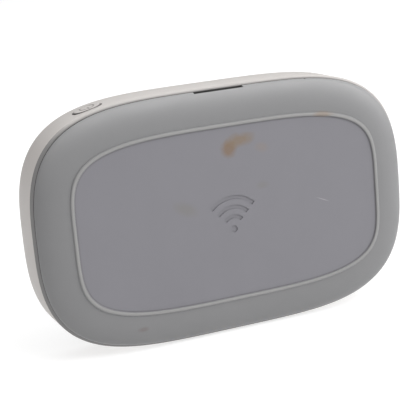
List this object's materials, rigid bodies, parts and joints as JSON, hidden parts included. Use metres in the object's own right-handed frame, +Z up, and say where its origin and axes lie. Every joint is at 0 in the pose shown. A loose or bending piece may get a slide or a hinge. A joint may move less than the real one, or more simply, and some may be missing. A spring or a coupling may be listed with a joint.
{
  "type": "mobile hotspot",
  "caption": "Pocket mobile hotspot with a light side band, a lift-off back cover with a raised ring, a removable battery, a touch display and covered antenna ports.",
  "frame": {"origin": "middle of the lower long edge at the lowest point, halfway through the depth", "axes": "+X along the long side with the power key near its end, +Y out of the back cover, +Z up the short side; the display looks along -Y"},
  "size_m": [0.107, 0.0174, 0.067],
  "materials": {
    "band_plastic": "fine satin moulded plastic, light warm grey",
    "cover_plastic": "soft-touch matt lacquer, mid grey",
    "black_plastic": "black moulded plastic, satin gloss",
    "frame_plastic": "dark glass-filled plastic, fine spark texture",
    "lens_glass": "black-printed cover glass, polished",
    "display_panel": "display polariser",
    "board_resin": "green solder mask on laminate",
    "shield_steel": "tinned steel sheet",
    "flex_film": "amber flexible circuit film",
    "graphite": "graphite sheet",
    "battery_wrap": "dark grey battery wrap",
    "gold_contact": "gold-plated contact metal",
    "card_plastic": "white card plastic",
    "cap_rubber": "grey soft rubber",
    "screw_steel": "blackened steel",
    "clear_resin": "clear resin"
  },
  "bodies": {
    "housing": {"antenna_carrier_left": "frame_plastic", "antenna_carrier_right": "frame_plastic", "antenna_clip_left": "gold_contact", "antenna_clip_right": "gold_contact", "antenna_element_left": "gold_contact", "antenna_element_right": "gold_contact", "antenna_socket_left": "gold_contact", "antenna_socket_right": "gold_contact", "battery_contact_block": "black_plastic", "contact_blade_1": "gold_contact", "contact_blade_2": "gold_contact", "contact_blade_3": "gold_contact", "contact_blade_4": "gold_contact", "display_flex": "flex_film", "display_module": "display_panel", "front_cover": "black_plastic", "heat_spreader": "graphite", "key_flex": "flex_film", "light_pipe": "clear_resin", "main_board": "board_resin", "modem_can": "shield_steel", "power_can": "shield_steel", "power_switch": "shield_steel", "rear_frame": "frame_plastic", "reset_switch": "shield_steel", "screw_1": "screw_steel", "screw_2": "screw_steel", "screw_3": "screw_steel", "screw_4": "screw_steel", "screw_5": "screw_steel", "screw_6": "screw_steel", "side_band": "band_plastic", "sim_socket": "shield_steel", "status_led": "clear_resin", "touch_lens": "lens_glass", "usb_socket": "shield_steel", "usb_tongue": "black_plastic", "wifi_can": "shield_steel"},
    "back_cover": {"back_cover": "cover_plastic"},
    "battery": {"battery_pack": "battery_wrap"},
    "sim": {"sim_card": "card_plastic"},
    "power_key": {"power_button": "band_plastic"},
    "reset_key": {"reset_button": "cap_rubber"},
    "cap_left": {"antenna_cap_left": "cap_rubber"},
    "cap_right": {"antenna_cap_right": "cap_rubber"}
  },
  "joints": [
    {"name": "cover_lift", "type": "slide", "parent": "housing", "child": "back_cover", "axis": [0, 1, 0], "range_m": [0, 0.025]},
    {"name": "battery_lift", "type": "slide", "parent": "housing", "child": "battery", "axis": [0, 1, 0], "range_m": [0, 0.0125]},
    {"name": "sim_slide", "type": "slide", "parent": "housing", "child": "sim", "axis": [-1, 0, 0], "range_m": [0, 0.01]},
    {"name": "power_press", "type": "slide", "parent": "housing", "child": "power_key", "axis": [-0.2312, 0, -0.9729], "range_m": [0, 0.0004], "stiffness_N_per_m": 800},
    {"name": "reset_press", "type": "slide", "parent": "housing", "child": "reset_key", "axis": [0, -1, 0], "range_m": [0, 0.00025], "stiffness_N_per_m": 800},
    {"name": "flap_left", "type": "hinge", "parent": "housing", "child": "cap_left", "pos_m": [-0.0274, -0.00155, 0.00124], "axis": [0, 1, 0], "range_deg": [0, 100], "stiffness_Nm_per_rad": 0.002},
    {"name": "flap_right", "type": "hinge", "parent": "housing", "child": "cap_right", "pos_m": [0.0274, -0.00155, 0.00124], "axis": [0, -1, 0], "range_deg": [0, 100], "stiffness_Nm_per_rad": 0.002}
  ],
  "couplings": [
    {"joint": "battery_lift", "follows": "cover_lift", "ratio": 0.5},
    {"joint": "sim_slide", "follows": "cover_lift", "ratio": 0.4}
  ]
}
